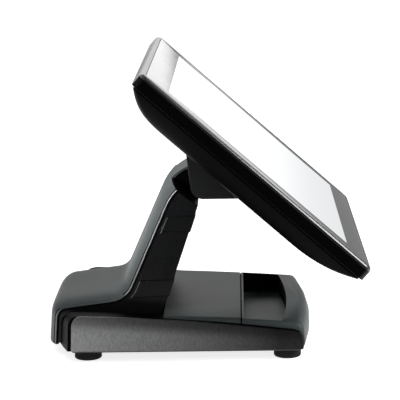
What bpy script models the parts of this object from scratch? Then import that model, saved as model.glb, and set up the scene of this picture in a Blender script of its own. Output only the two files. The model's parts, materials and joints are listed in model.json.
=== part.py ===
"""Countertop touchscreen terminal: tilting screen head on a leaning arm and a low base.

Metres, +Z up. The operator stands on the -Y side and looks towards +Y. The origin is on
the tabletop, under the middle of the whole object. The object is symmetric about X = 0,
except for the power button and the connectors.
"""
import math

import bmesh
import bpy
from mathutils import Matrix, Vector

MM = 0.001
GAP = 0.3 * MM                     # clearance between neighbouring pieces

# Tilt hinge: the head turns about a line along X through this point.
AXIS_Y = -1.0 * MM
AXIS_Z = 174.5 * MM
TILT_DEG = 41.6                    # screen plane above the horizontal, at rest

# Screen head. V runs up the slope of the screen and W out of it, both from the tilt axis.
HEAD_W = 361.0 * MM
HEAD_H = 292.0 * MM
HEAD_MID_V = -19.2 * MM
HEAD_CORNER = 7.0 * MM
BEZEL_FRONT_W = 61.5 * MM
BEZEL_BACK_W = 46.5 * MM
BEZEL_CHAMFER = 4.2 * MM
BEZEL_WALL = 3.0 * MM
BEZEL_LEDGE = 11.0 * MM
GLASS_INSET = 5.3 * MM
GLASS_THICK = 2.7 * MM
PANEL_W = 326.0 * MM
PANEL_H = 254.0 * MM
COVER_BACK_W = 24.8 * MM
COVER_RIM_INSET = 3.5 * MM
COVER_TOP_RUN = 38.0 * MM          # how far each edge of the rear cover slopes in
COVER_SIDE_RUN = 30.0 * MM
COVER_BOTTOM_RUN = 60.0 * MM
COVER_WALL = 2.2 * MM
VENT_PITCH = 9.0 * MM
VENT_LOW_V = 62.0 * MM
VENT_ROW_V = 18.0 * MM
SCREW_X = 125.0 * MM
SCREW_VS = (-76.0 * MM, 66.0 * MM)

# Power button on the lower side of the bezel
BUTTON_X = 150.0 * MM
BUTTON_W = 51.5 * MM
BUTTON_R = 3.5 * MM
BUTTON_PROUD = 1.0 * MM
BUTTON_DEEP = 7.0 * MM
BUTTON_TRAVEL = 1.2 * MM

# Boards inside the head: x, v, width, height and thickness of each block, in mm
BOARD_TOP_W = 38.6 * MM
BOARD_THICK = 1.6 * MM
BOARD_PARTS = [
    (-80, -40, 30, 60, 4.0), (-30, 15, 40, 40, 2.5),
    (30, -30, 50, 14, 5.0), (60, 20, 22, 30, 4.0),
]

# Connector bay in the rear cover, open to the rear and downwards
BAY_HALF = 95.0 * MM
BAY_LOW = -93.0 * MM
BAY_HIGH = -67.0 * MM
BAY_MID = (BAY_LOW + BAY_HIGH) / 2
BAY_FLOOR_W = 43.5 * MM
BAY_WALL = 1.5 * MM

# Hinge cover and the knuckle it clasps
COVER_NOSE_R = 13.0 * MM
HINGE_COVER_HALF = 75.0 * MM
HINGE_COVER_WALL = 2.4 * MM
SLOT_HALF = 30.0 * MM
KNUCKLE_HALF = 27.5 * MM
CHEEK_IN = 25.8 * MM
CHEEK_OUT = 27.2 * MM
CHEEK_R = 12.0 * MM
CHEEK_LOW = 152.5 * MM
SHAFT_R = 4.0 * MM
SHAFT_HALF = 52.0 * MM

# Arm: its rear profile is the rim of the cowl, a bent line with rounded corners.
ARM_HALF = 75.0 * MM
CROWN = 8.0 * MM                   # how far the cowl bulges at X = 0
COWL_WALL = 2.2 * MM
# Y, Z and corner radius in mm: knuckle, shoulder, foot of the arm, rear edge, bottom
COWL_RIM = [
    (3.3, 184.5, 0.0), (28.8, 175.2, 52.0), (80.9, 57.5, 27.0),
    (152.6, 48.4, 12.0), (155.53, 10.5, 0.0),
]
FRONT_TOP = (4.7, 154.6)           # top and bottom of the arm's front line, Y and Z in mm
FRONT_BOTTOM = (54.2, 11.6)
SHOULDER_BACK = (26.2, 171.3)      # the shoulder runs from the front line's top to here
SIDE_PLATE = 2.5 * MM
SIDE_RECESS = 0.8 * MM             # the arm's sides sit this far inside the cowl's ends
COWL_PLAY = 0.4 * MM
FRONT_WALL = 2.2 * MM

# Base
RAIL_IN = 103.3 * MM
RAIL_OUT = 106.5 * MM
BASE_HALF = 108.5 * MM
BASE_BOTTOM = 11.5 * MM
DECK_HALF = 103.0 * MM
DECK_BACK = 41.0 * MM
DECK_FRONT = -37.3 * MM
DECK_WALL = 2.5 * MM
DECK_JOINT = 1.6 * MM              # open joint between the deck cover and the tray
ROLL_OFF = 6.0 * MM                # width of the rounded edge of the deck
NOSE_Y = -111.0 * MM
POCKET_BACK = -40.7 * MM
POCKET_FRONT = -86.5 * MM
POCKET_HALF = 99.3 * MM
POCKET_FLOOR = 19.5 * MM
END_RUN = 11.0 * MM                # length and height of the rails' rounded rear ends
END_RISE = 12.0 * MM
CHANNEL_OUT = 89.0 * MM            # channel between the rear hump and the rail's shoulder
CHANNEL_DEEP = 5.0 * MM
PLATE_BOTTOM = 9.0 * MM
PLATE_TOP = 11.0 * MM
FOOT_R = 14.0 * MM
FOOT_HOLE_R = 5.0 * MM
FOOT_X = 88.0 * MM
FOOT_FRONT_Y = -85.0 * MM
FOOT_BACK_Y = 120.0 * MM

BLACK = (0.012, 0.012, 0.014, 1.0)
GREY = (0.105, 0.115, 0.118, 1.0)
BRUSHED = (0.16, 0.165, 0.165, 1.0)
STEEL = (0.55, 0.56, 0.58, 1.0)
BOARD_GREEN = (0.02, 0.12, 0.05, 1.0)
DARK_GLASS = (0.02, 0.02, 0.022, 1.0)
PANEL_WHITE = (0.9, 0.9, 0.9, 1.0)
SINK_SILVER = (0.6, 0.61, 0.62, 1.0)
BALLAST_GREY = (0.2, 0.2, 0.21, 1.0)
RUBBER = (0.02, 0.02, 0.02, 1.0)


# ---------------------------------------------------------------- scene and materials

def clear_scene():
    for obj in list(bpy.data.objects):
        bpy.data.objects.remove(obj, do_unlink=True)


def new_collection(name):
    collection = bpy.data.collections.new(name)
    bpy.context.scene.collection.children.link(collection)
    return collection


def finish_object(obj, name, colour, roughness, metallic=0.0):
    """Name the object, file it in the model's collection and give it its own material."""
    obj.name = name
    obj.data.name = name
    for other in list(obj.users_collection):
        other.objects.unlink(obj)
    PARTS.objects.link(obj)
    material = bpy.data.materials.new(name)
    material.use_nodes = True
    shader = material.node_tree.nodes["Principled BSDF"]
    shader.inputs["Base Color"].default_value = colour
    shader.inputs["Roughness"].default_value = roughness
    shader.inputs["Metallic"].default_value = metallic
    obj.data.materials.clear()
    obj.data.materials.append(material)
    return obj


def black_plastic(obj, name, roughness=0.45):
    return finish_object(obj, name, BLACK, roughness)


def grey_plastic(obj, name):
    return finish_object(obj, name, GREY, 0.4)


def steel(obj, name, roughness=0.35):
    return finish_object(obj, name, STEEL, roughness, 1.0)


# ---------------------------------------------------------------- mesh helpers

def object_from_bmesh(bm, closed=True):
    if closed:
        bmesh.ops.recalc_face_normals(bm, faces=bm.faces)
    mesh = bpy.data.meshes.new("piece")
    bm.to_mesh(mesh)
    bm.free()
    obj = bpy.data.objects.new("piece", mesh)
    bpy.context.scene.collection.objects.link(obj)
    return obj


def smooth(obj, angle_deg=35.0):
    obj.data.shade_smooth()
    obj.data.set_sharp_from_angle(angle=math.radians(angle_deg))
    return obj


def loft(rings, looped=False):
    """Solid skin over rings of equal length: capped at both ends, or looped into a frame."""
    bm = bmesh.new()
    rows = [[bm.verts.new(point) for point in ring] for ring in rings]
    last = len(rows) if looped else len(rows) - 1
    for i in range(last):
        here = rows[i]
        there = rows[(i + 1) % len(rows)]
        for j in range(len(here)):
            k = (j + 1) % len(here)
            bm.faces.new((here[j], here[k], there[k], there[j]))
    if not looped:
        bm.faces.new(rows[0])
        bm.faces.new(rows[-1])
    return object_from_bmesh(bm)


def loft_x(section, stations):
    """Solid skin over Y-Z sections placed along X."""
    rings = [[(x, y, z) for y, z in section(x)] for x in stations]
    return loft(rings)


def box(low, high, bevel=0.0):
    """Box between two corners, from the cube primitive."""
    bpy.ops.mesh.primitive_cube_add(size=1.0)
    obj = bpy.context.active_object
    size = [high[i] - low[i] for i in range(3)]
    middle = [(high[i] + low[i]) / 2 for i in range(3)]
    obj.data.transform(Matrix.Translation(middle) @ Matrix.Diagonal((*size, 1.0)))
    if bevel:
        add_bevel(obj, bevel)
    return obj


def cylinder(radius, start, end, sides=32):
    """Cylinder between two points."""
    start = Vector(start)
    end = Vector(end)
    along = end - start
    bpy.ops.mesh.primitive_cylinder_add(vertices=sides, radius=radius, depth=along.length)
    obj = bpy.context.active_object
    turn = along.to_track_quat("Z", "Y").to_matrix().to_4x4()
    obj.data.transform(Matrix.Translation((start + end) / 2) @ turn)
    return smooth(obj)


def ring_on_shaft(corners, sides=28):
    """Turned ring with a hole, about the tilt axis: corners are its section, (x, radius)."""
    turns = [2 * math.pi * i / sides for i in range(sides)]
    rings = []
    for x, radius in corners:
        rings.append([(x, AXIS_Y + radius * math.cos(t), AXIS_Z + radius * math.sin(t)) for t in turns])
    return loft(rings, looped=True)


def plate_x(outline, x_low, x_high, holes=()):
    """Flat plate normal to X, from a 2D curve: outline and holes are lists of (y, z)."""
    curve = bpy.data.curves.new("plate", "CURVE")
    curve.dimensions = "2D"
    curve.fill_mode = "BOTH"
    curve.extrude = (x_high - x_low) / 2
    for loop in (outline, *holes):
        spline = curve.splines.new("POLY")
        spline.points.add(len(loop) - 1)
        for point, (y, z) in zip(spline.points, loop):
            point.co = (y, z, 0.0, 1.0)
        spline.use_cyclic_u = True
    turn = Matrix(((0, 0, 1, (x_low + x_high) / 2), (1, 0, 0, 0), (0, 1, 0, 0), (0, 0, 0, 1)))
    return mesh_from_curve(curve, turn)


def mesh_from_curve(curve, matrix):
    """Turn a curve into a welded mesh object."""
    guide = bpy.data.objects.new("guide", curve)
    bpy.context.scene.collection.objects.link(guide)
    graph = bpy.context.evaluated_depsgraph_get()
    mesh = bpy.data.meshes.new_from_object(guide.evaluated_get(graph))
    bpy.data.objects.remove(guide, do_unlink=True)
    bpy.data.curves.remove(curve)
    bm = bmesh.new()
    bm.from_mesh(mesh)
    bpy.data.meshes.remove(mesh)
    bmesh.ops.remove_doubles(bm, verts=bm.verts, dist=0.00002)
    bmesh.ops.transform(bm, matrix=matrix, verts=bm.verts)
    return object_from_bmesh(bm)


def add_bevel(obj, width, segments=2, angle=40.0):
    bevel = obj.modifiers.new("rounded edges", "BEVEL")
    bevel.width = width
    bevel.segments = segments
    bevel.limit_method = "ANGLE"
    bevel.angle_limit = math.radians(angle)
    return obj


def add_solidify(obj, thickness):
    """Give an open sheet its thickness, on the side away from its normals."""
    wall = obj.modifiers.new("wall", "SOLIDIFY")
    wall.thickness = thickness
    wall.offset = -1.0
    wall.use_even_offset = True
    return obj


def combine(obj, other, operation):
    """Boolean with a second solid, which goes to the cutters' collection."""
    step = obj.modifiers.new(operation.lower(), "BOOLEAN")
    step.operation = operation
    step.solver = "EXACT"
    step.object = other
    for collection in list(other.users_collection):
        collection.objects.unlink(other)
    CUTTERS.objects.link(other)
    other.name = "cutter"
    other.hide_render = True
    other.display_type = "WIRE"
    return obj


def cut(obj, *cutters):
    for cutter in cutters:
        combine(obj, cutter, "DIFFERENCE")
    return obj


def join_solids(obj, *others):
    for other in others:
        combine(obj, other, "UNION")
    return obj


# ---------------------------------------------------------------- outline helpers

def arc_points(centre, radius, start_deg, end_deg, count):
    points = []
    for i in range(count + 1):
        angle = math.radians(start_deg + (end_deg - start_deg) * i / count)
        points.append((centre[0] + radius * math.cos(angle), centre[1] + radius * math.sin(angle)))
    return points


def rounded_line(corners, radii, steps=7):
    """Bent line whose inner corners are arcs of the given radii."""
    points = [Vector(corners[0])]
    for i in range(1, len(corners) - 1):
        corner = Vector(corners[i])
        back = (Vector(corners[i - 1]) - corner).normalized()
        ahead = (Vector(corners[i + 1]) - corner).normalized()
        half_turn = (math.pi - back.angle(ahead)) / 2
        run = radii[i] * math.tan(half_turn)
        middle = corner + (back + ahead).normalized() * radii[i] / math.cos(half_turn)
        first = corner + back * run - middle
        sweep = first.angle_signed(corner + ahead * run - middle)
        for k in range(steps + 1):
            turn = Matrix.Rotation(-sweep * k / steps, 2)
            points.append(middle + turn @ first)
    points.append(Vector(corners[-1]))
    return points


def offset_line(points, distance):
    """Shift an open line sideways, to the left of its direction."""
    shifted = []
    for i, point in enumerate(points):
        before = points[max(i - 1, 0)]
        after = points[min(i + 1, len(points) - 1)]
        along = (after - before).normalized()
        shifted.append(point + Vector((-along.y, along.x)) * distance)
    return shifted


def rounded_rect(half_x, low, high, radius, steps=5):
    """Corner-rounded rectangle in X and V, counter-clockwise."""
    corners = [
        (half_x - radius, low + radius, -90),
        (half_x - radius, high - radius, 0),
        (-half_x + radius, high - radius, 90),
        (-half_x + radius, low + radius, 180),
    ]
    points = []
    for x, v, start in corners:
        points += arc_points((x, v), radius, start, start + 90, steps)
    return points


def head_ring(inset, w, radius=HEAD_CORNER, inset_top=None, inset_bottom=None):
    """Ring at height W, inset from the head's outline."""
    top = inset if inset_top is None else inset_top
    bottom = inset if inset_bottom is None else inset_bottom
    low = HEAD_MID_V - HEAD_H / 2 + bottom
    high = HEAD_MID_V + HEAD_H / 2 - top
    outline = rounded_rect(HEAD_W / 2 - inset, low, high, radius)
    return [(x, v, w) for x, v in outline]


# ---------------------------------------------------------------- head

def on_head(obj):
    """Parent a piece built in X, V, W to the tilt axis."""
    obj.parent = TILT
    return obj


def make_front_bezel():
    rings = [
        head_ring(0, BEZEL_BACK_W),
        head_ring(0, BEZEL_FRONT_W - BEZEL_CHAMFER),
        head_ring(0.8 * MM, BEZEL_FRONT_W - 1.9 * MM, 6.6 * MM),
        head_ring(2.2 * MM, BEZEL_FRONT_W - 0.6 * MM, 5.8 * MM),
        head_ring(BEZEL_CHAMFER, BEZEL_FRONT_W, 4.6 * MM),
        head_ring(GLASS_INSET - GAP, BEZEL_FRONT_W, 3.9 * MM),
        head_ring(GLASS_INSET - GAP, BEZEL_FRONT_W - 3.3 * MM, 3.9 * MM),
        head_ring(BEZEL_LEDGE, BEZEL_FRONT_W - 3.3 * MM, 2.0 * MM),
        head_ring(BEZEL_LEDGE, BEZEL_FRONT_W - 5.3 * MM, 2.0 * MM),
        head_ring(BEZEL_WALL, BEZEL_FRONT_W - 5.3 * MM, 5.0 * MM),
        head_ring(BEZEL_WALL, BEZEL_BACK_W, 5.0 * MM),
    ]
    bezel = loft(rings, looped=True)
    side_v = HEAD_MID_V - HEAD_H / 2
    hole = cylinder(BUTTON_R + 0.3 * MM, (BUTTON_X, side_v - 5 * MM, BUTTON_W),
                    (BUTTON_X, side_v + 5 * MM, BUTTON_W), 24)
    cut(bezel, on_head(hole))
    return on_head(black_plastic(bezel, "front_bezel", 0.3))


def make_touch_glass():
    top = BEZEL_FRONT_W - 0.3 * MM
    bottom = top - GLASS_THICK
    rings = [
        head_ring(GLASS_INSET, bottom, 3.6 * MM),
        head_ring(GLASS_INSET, top - 0.4 * MM, 3.6 * MM),
        head_ring(GLASS_INSET + 0.4 * MM, top, 3.2 * MM),
    ]
    return on_head(finish_object(loft(rings), "touch_glass", DARK_GLASS, 0.05))


def make_lcd_panel():
    top = BEZEL_FRONT_W - 3.3 * MM
    low = (-PANEL_W / 2, HEAD_MID_V - PANEL_H / 2, BEZEL_BACK_W + 1.7 * MM)
    high = (PANEL_W / 2, HEAD_MID_V + PANEL_H / 2, top)
    panel = box(low, high, 0.8 * MM)
    return on_head(finish_object(panel, "lcd_panel", PANEL_WHITE, 0.3))


def make_display_chassis():
    """Steel plate behind the panel, with four posts down to the main board."""
    w_low = BEZEL_BACK_W - 0.2 * MM
    half_v = PANEL_H / 2 + 1 * MM
    plate = box((-PANEL_W / 2, HEAD_MID_V - half_v, w_low),
                (PANEL_W / 2, HEAD_MID_V + half_v, w_low + 1.5 * MM))
    for x in (-92 * MM, 92 * MM):
        for v in (-44 * MM, 66 * MM):
            post = cylinder(3 * MM, (x, v, BOARD_TOP_W + GAP), (x, v, w_low + 0.7 * MM), 16)
            join_solids(plate, on_head(post))
    return on_head(steel(plate, "display_chassis"))


def make_rear_cover():
    """Pillow-edged shell: rings run in along a parabola from the rim to the flat back."""
    rim_w = BEZEL_BACK_W - GAP
    depth = rim_w - COVER_BACK_W
    straight = 0.10                # share of the depth that is a plain wall at the rim
    steps = 8
    rings = [head_ring(COVER_RIM_INSET, rim_w, 6.0 * MM)]
    for i in range(steps + 1):
        t = i / steps
        drop = depth * (straight + (1 - straight) * (1 - (1 - t) ** 2))
        side = COVER_RIM_INSET + COVER_SIDE_RUN * t
        top = COVER_RIM_INSET + COVER_TOP_RUN * t
        bottom = COVER_RIM_INSET + COVER_BOTTOM_RUN * t
        radius = (6.0 + 12.0 * t) * MM
        rings.append(head_ring(side, rim_w - drop, radius, top, bottom))
    bm = bmesh.new()
    rows = [[bm.verts.new(point) for point in ring] for ring in rings]
    for here, there in zip(rows, rows[1:]):
        for j in range(len(here)):
            k = (j + 1) % len(here)
            bm.faces.new((here[k], here[j], there[j], there[k]))
    bm.faces.new(list(reversed(rows[-1])))
    cover = add_solidify(object_from_bmesh(bm, closed=False), COVER_WALL)
    behind = COVER_BACK_W - 5 * MM
    inside = COVER_BACK_W + 5 * MM
    vents = [(i, row) for row in range(2) for i in range(-8, 9) if i != 0]
    for i, row in vents:
        x = i * VENT_PITCH
        v = VENT_LOW_V + row * VENT_ROW_V
        slot = box((x - 1.2 * MM, v - 6.5 * MM, behind), (x + 1.2 * MM, v + 6.5 * MM, inside))
        cut(cover, on_head(slot))
    bay = box((-BAY_HALF, BAY_LOW, behind), (BAY_HALF, BAY_HIGH, inside))
    cut(cover, on_head(bay))
    return on_head(black_plastic(cover, "rear_cover"))


def make_main_board():
    board = box((-100 * MM, -50 * MM, BOARD_TOP_W - BOARD_THICK), (100 * MM, 72 * MM, BOARD_TOP_W))
    for x, v, wide, high, tall in BOARD_PARTS:
        low = (x * MM, v * MM, BOARD_TOP_W - BOARD_THICK / 2)
        part = box(low, ((x + wide) * MM, (v + high) * MM, BOARD_TOP_W + tall * MM))
        join_solids(board, on_head(part))
    return on_head(finish_object(board, "main_board", BOARD_GREEN, 0.5))


def make_heat_sink():
    """Plate with eight fins, under the board's processor."""
    top = BOARD_TOP_W - BOARD_THICK - GAP
    sink = box((-34 * MM, 12 * MM, top - 2 * MM), (34 * MM, 66 * MM, top))
    for i in range(8):
        x = (-33 + i * 9.0) * MM
        fin = box((x, 12.5 * MM, top - 7 * MM), (x + 2 * MM, 65.5 * MM, top - 1 * MM))
        join_solids(sink, on_head(fin))
    return on_head(finish_object(sink, "heat_sink", SINK_SILVER, 0.4, 1.0))


def make_storage_drive():
    drive = box((-148 * MM, -40 * MM, 38.5 * MM), (-106 * MM, 44 * MM, 45.9 * MM), 1.0 * MM)
    return on_head(steel(drive, "storage_drive", 0.4))


def make_speaker():
    drum = cylinder(14 * MM, (125 * MM, 20 * MM, 38 * MM), (125 * MM, 20 * MM, 45.9 * MM), 32)
    return on_head(black_plastic(drum, "speaker"))


def make_io_panel():
    """Open tray behind the rear cover's window; the connectors stand on its floor."""
    rim = 4 * MM
    tray = box((-BAY_HALF - rim, BAY_LOW - rim, COVER_BACK_W + COVER_WALL + GAP),
               (BAY_HALF + rim, BAY_HIGH + rim, BAY_FLOOR_W + BAY_WALL))
    hollow = box((-BAY_HALF, BAY_LOW, COVER_BACK_W - 5 * MM), (BAY_HALF, BAY_HIGH, BAY_FLOOR_W))
    cut(tray, on_head(hollow))
    return on_head(steel(tray, "io_panel"))


def connector_shell(x, half_x, half_v, tall, wall):
    """Rectangular socket on the bay's floor, with a hollow 2 mm shorter than itself."""
    floor = BAY_FLOOR_W - GAP
    outer = box((x - half_x, BAY_MID - half_v, floor - tall), (x + half_x, BAY_MID + half_v, floor))
    low = (x - half_x + wall, BAY_MID - half_v + wall, floor - tall - MM)
    high = (x + half_x - wall, BAY_MID + half_v - wall, floor - 2 * MM)
    return cut(outer, on_head(box(low, high)))


def make_power_inlet():
    """Round socket for the lead of an outside power supply."""
    x = -82 * MM
    floor = BAY_FLOOR_W - GAP
    inlet = cylinder(7 * MM, (x, BAY_MID, floor - 8 * MM), (x, BAY_MID, floor), 24)
    bore = cylinder(5.5 * MM, (x, BAY_MID, floor - 9 * MM), (x, BAY_MID, floor - 2 * MM), 24)
    cut(inlet, on_head(bore))
    return on_head(black_plastic(inlet, "power_inlet"))


def make_connectors():
    make_power_inlet()
    for word, x in (("left", -56 * MM), ("right", -30 * MM)):
        on_head(steel(connector_shell(x, 7.5 * MM, 7.2 * MM, 10 * MM, 0.8 * MM), "usb_port_" + word))
    on_head(steel(connector_shell(28 * MM, 8 * MM, 7 * MM, 10 * MM, 1 * MM), "network_port"))
    on_head(steel(connector_shell(62 * MM, 15.5 * MM, 6.2 * MM, 8 * MM, 1 * MM), "serial_port"))


def hinge_cover_section(wall):
    """Wedge with a round nose, in V and W: two walls tangent to the nose's circle."""
    radius = COVER_NOSE_R - wall
    back_deg = -6.4 - TILT_DEG
    front_deg = -90.0 - TILT_DEG
    top_w = COVER_BACK_W - GAP + (10 * MM if wall else 0.0)
    points = []
    for angle_deg in (back_deg, front_deg):
        normal = Vector((math.cos(math.radians(angle_deg)), math.sin(math.radians(angle_deg))))
        points.append(((radius - normal.y * top_w) / normal.x, top_w))
    nose = arc_points((0, 0), radius, back_deg, front_deg, 10)
    return [points[0], *nose, points[1]]


def make_hinge_cover():
    """Hollow wedge on the back of the head, open where the arm's knuckle enters."""
    half = HINGE_COVER_HALF
    outer = loft([[(x, v, w) for v, w in hinge_cover_section(0.0)] for x in (-half, half)])
    add_bevel(outer, 1.2 * MM, 2, 50.0)
    inner_half = half - HINGE_COVER_WALL
    inner_section = hinge_cover_section(HINGE_COVER_WALL)
    inner = loft([[(x, v, w) for v, w in inner_section] for x in (-inner_half, inner_half)])
    slot = box((-SLOT_HALF, -24 * MM, -30 * MM), (SLOT_HALF, 70 * MM, COVER_BACK_W - 1.5 * MM))
    cut(outer, on_head(inner), on_head(slot))
    return on_head(black_plastic(outer, "hinge_cover"))


def make_tilt_bracket(side, name):
    """Steel leaf round the shaft with a foot that is screwed to the head."""
    leaf_in = 32 * MM
    leaf_out = 35.5 * MM
    foot_top = COVER_BACK_W - GAP
    outline = arc_points((0, 0), 9.5 * MM, 180, 360, 12)
    outline += [(15 * MM, 17 * MM), (15 * MM, foot_top - 1 * MM)]
    outline += [(-15 * MM, foot_top - 1 * MM), (-15 * MM, 17 * MM)]
    bore = arc_points((0, 0), SHAFT_R + GAP, 0, 345, 23)
    low, high = sorted((side * leaf_in, side * leaf_out))
    leaf = plate_x(outline, low, high, [bore])
    low, high = sorted((side * leaf_in, side * 62 * MM))
    foot = box((low, -20 * MM, foot_top - 3 * MM), (high, 20 * MM, foot_top))
    join_solids(leaf, on_head(foot))
    return on_head(steel(leaf, name))


def make_power_button():
    """Round button pressed up the screen's slope; its collar stays behind the wall."""
    v = HEAD_MID_V - HEAD_H / 2
    cap = cylinder(BUTTON_R, (0, -BUTTON_PROUD, 0), (0, BUTTON_DEEP, 0), 24)
    collar_start = BEZEL_WALL + 0.4 * MM
    collar_end = collar_start + 1.2 * MM
    collar = cylinder(BUTTON_R + 0.9 * MM, (0, collar_start, 0), (0, collar_end, 0), 24)
    holder = bpy.data.objects.new("button_axis", None)
    bpy.context.scene.collection.objects.link(holder)
    holder.parent = TILT
    holder.location = (BUTTON_X, v, BUTTON_W)
    collar.parent = holder
    join_solids(cap, collar)
    finish_object(cap, "power_button", GREY, 0.35)
    cap.parent = holder
    return cap


def make_switch_board():
    v = HEAD_MID_V - HEAD_H / 2 + BUTTON_DEEP + BUTTON_TRAVEL + 0.4 * MM
    board = box((BUTTON_X - 12 * MM, v, BUTTON_W - 4 * MM),
                (BUTTON_X + 12 * MM, v + BOARD_THICK, BUTTON_W + 4 * MM))
    return on_head(finish_object(board, "switch_board", BOARD_GREEN, 0.5))


def make_rear_cover_screws():
    corners = [(x, v) for x in (-SCREW_X, SCREW_X) for v in SCREW_VS]
    for number, (x, v) in enumerate(corners, 1):
        head = cylinder(3 * MM, (x, v, COVER_BACK_W - 1.6 * MM), (x, v, COVER_BACK_W - GAP), 20)
        on_head(steel(head, "rear_cover_screw_%d" % number))


# ---------------------------------------------------------------- hinge

def make_hinge_shaft():
    shaft = cylinder(SHAFT_R, (-SHAFT_HALF, AXIS_Y, AXIS_Z), (SHAFT_HALF, AXIS_Y, AXIS_Z), 28)
    return steel(shaft, "hinge_shaft", 0.25)


def make_washers_and_nuts(side, word):
    """Cupped washers that press on the bracket, and the nut that sets the friction."""
    corners = [(36.0, 4.3)]
    for i in range(4):
        start = 36.0 + 1.9 * i
        corners += [(start, 8.0), (start + 1.4, 8.0), (start + 1.4, 6.8), (start + 1.9, 6.8)]
    corners[-2:] = [(corners[-3][0], 4.3)]
    stack = ring_on_shaft([(side * x * MM, radius * MM) for x, radius in corners])
    steel(stack, "friction_washers_" + word)
    corners = [(43.6, 4.3), (43.6, 7.5), (49.0, 7.5), (49.0, 4.3)]
    nut = ring_on_shaft([(side * x * MM, radius * MM) for x, radius in corners], 6 * 4)
    return steel(nut, "hinge_nut_" + word)


# ---------------------------------------------------------------- arm

def cowl_line(x, inset=0.0):
    """Y-Z line of the cowl's outside at this X, bulged by the crown, then moved inwards."""
    corners = [(y * MM, z * MM) for y, z, radius in COWL_RIM]
    rim = rounded_line(corners, [radius * MM for y, z, radius in COWL_RIM])
    bulge = CROWN * (1 - (x / ARM_HALF) ** 4)
    return offset_line(rim, bulge - inset)


def crown_stations(half, count):
    return [half * (2 * i / count - 1) for i in range(count + 1)]


def make_rear_cowl():
    """One grey shell: hinge knuckle, back of the arm, rear hump and rear face."""
    def section(x):
        outer = cowl_line(x)
        inner = cowl_line(x, COWL_WALL)
        return [(p.x, p.y) for p in outer] + [(p.x, p.y) for p in reversed(inner)]

    cowl = loft_x(section, crown_stations(ARM_HALF, 12))
    for side in (-1, 1):
        low, high = sorted((side * KNUCKLE_HALF, side * (ARM_HALF + 15 * MM)))
        cut(cowl, shoulder_block(low, high))
    return grey_plastic(smooth(cowl), "rear_cowl")


def shoulder_block(x_low, x_high):
    """Everything above the line of the shoulders."""
    front = Vector(FRONT_TOP) * MM
    back = Vector(SHOULDER_BACK) * MM
    along = (back - front).normalized()
    start = front - along * 40 * MM
    end = back + along * 30 * MM
    up = Vector((-along.y, along.x)) * 60 * MM
    outline = [start, end, end + up, start + up]
    return plate_x([(p.x, p.y) for p in outline], x_low, x_high)


def front_line_y(z):
    """Y of the arm's front face at height Z, in metres."""
    low = Vector(FRONT_BOTTOM) * MM
    high = Vector(FRONT_TOP) * MM
    return low.x + (high.x - low.x) * (z - low.y) / (high.y - low.y)


def below_shoulder(line, depth):
    """The part of a Y-Z line that lies at least this far under the shoulders."""
    front = Vector(FRONT_TOP) * MM
    along = (Vector(SHOULDER_BACK) * MM - front).normalized()
    level = Vector((-along.y, along.x))
    heights = [(point - front).dot(level) + depth for point in line]
    first = next(i for i, height in enumerate(heights) if height < 0)
    share = heights[first - 1] / (heights[first - 1] - heights[first])
    crossing = line[first - 1].lerp(line[first], share)
    return [crossing, *line[first:]]


def make_arm_side(side, name):
    """Black side of the arm and of the rear hump, inside the cowl's rim."""
    rear = below_shoulder(cowl_line(ARM_HALF, COWL_WALL + COWL_PLAY), GAP)
    outline = [(FRONT_TOP[0] * MM, FRONT_TOP[1] * MM)]
    outline += [(p.x, p.y) for p in rear]
    outline[-1] = (outline[-1][0], BASE_BOTTOM)
    outline += [(FRONT_BOTTOM[0] * MM, FRONT_BOTTOM[1] * MM)]
    outer = ARM_HALF - SIDE_RECESS
    low, high = sorted((side * outer, side * (outer - SIDE_PLATE)))
    plate = plate_x(outline, low, high)
    add_bevel(plate, 0.5 * MM, 1)
    return black_plastic(plate, name)


def make_arm_front_cover():
    """Front wall of the arm with the shoulders bent back from its top."""
    half = ARM_HALF - SIDE_RECESS - SIDE_PLATE - GAP

    def section(x):
        low = Vector(FRONT_BOTTOM) * MM
        top = Vector(FRONT_TOP) * MM
        behind = cowl_line(x, COWL_WALL + COWL_PLAY)
        back = below_shoulder(behind, 0.0)[0]
        back_under = below_shoulder(behind, FRONT_WALL)[0]
        inside = Vector((0.945, 0.327)) * FRONT_WALL
        corner = top + Vector((0.75, -0.45)) * FRONT_WALL
        line = [low, top, back, back_under, corner, low + inside]
        return [(p.x, p.y) for p in line]

    cover = loft_x(section, crown_stations(half, 10))
    slot_half = SLOT_HALF - 1.5 * MM
    slot_low = FRONT_TOP[1] * MM - 3 * MM
    cut(cover, box((-slot_half, -30 * MM, slot_low), (slot_half, 60 * MM, slot_low + 50 * MM)))
    return black_plastic(cover, "arm_front_cover")


def make_arm_band(name, rear_low, rear_high, z_low, z_high):
    """Shallow U-shaped band that wraps the front of the arm; its rear ends are Y, Z in mm."""
    proud = 1.1 * MM
    outline = [
        (front_line_y(z_high) - proud, z_high),
        (rear_high[0] * MM, rear_high[1] * MM),
        (rear_low[0] * MM, rear_low[1] * MM),
        (front_line_y(z_low) - proud, z_low),
    ]
    half = ARM_HALF + 0.4 * MM
    band = plate_x(outline, -half, half)
    above = z_high + 20 * MM
    below = z_low - 20 * MM
    arm = [
        (front_line_y(above) - GAP, above),
        (160 * MM, above),
        (160 * MM, below),
        (front_line_y(below) - GAP, below),
    ]
    half = ARM_HALF - SIDE_RECESS + GAP
    cut(band, plate_x(arm, -half, half))
    return black_plastic(band, name, 0.35)


def make_spine_plate(side, name):
    """Steel plate that carries the hinge shaft down to the base plate."""
    head = arc_points((AXIS_Y / MM, AXIS_Z / MM), 10.5, 200, -20, 14)
    rear = [(24, 156), (38, 130), (66, 62), (84, 32), (112, 18), (112, 12.2)]
    front = [(60, 12.2), (60, 22), (45, 62), (18, 140), (9, 157)]
    outline = head + rear + front
    bore = arc_points((AXIS_Y, AXIS_Z), SHAFT_R + GAP, 0, 345, 23)
    low, high = sorted((side * 21.5 * MM, side * 25.5 * MM))
    plate = plate_x([(y * MM, z * MM) for y, z in outline], low, high, [bore])
    return steel(plate, name)


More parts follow.
